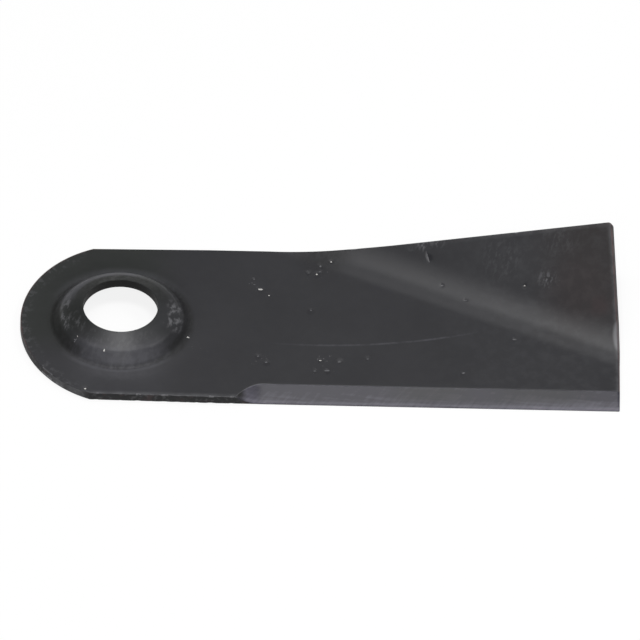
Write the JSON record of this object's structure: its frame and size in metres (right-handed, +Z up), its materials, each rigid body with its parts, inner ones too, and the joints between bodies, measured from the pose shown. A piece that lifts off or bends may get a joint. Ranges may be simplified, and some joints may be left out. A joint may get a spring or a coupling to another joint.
{
  "type": "rotary mower blade",
  "caption": "Flat steel mower blade with a round cupped bolt end, a bevelled cutting edge and a wing folded up slantwise at the tip.",
  "frame": {"origin": "centre of the bolt hole, halfway up its wall", "axes": "+X from the bolt hole to the tip, +Y to the trailing edge, which carries the folded wing, and +Z up along the bolt hole's axis, the way the cup and the wing rise"},
  "size_m": [0.3063, 0.1085, 0.0408],
  "materials": {
    "black_oxide_steel": "satin"
  },
  "bodies": {
    "root": {"blade": "black_oxide_steel"}
  },
  "joints": []
}
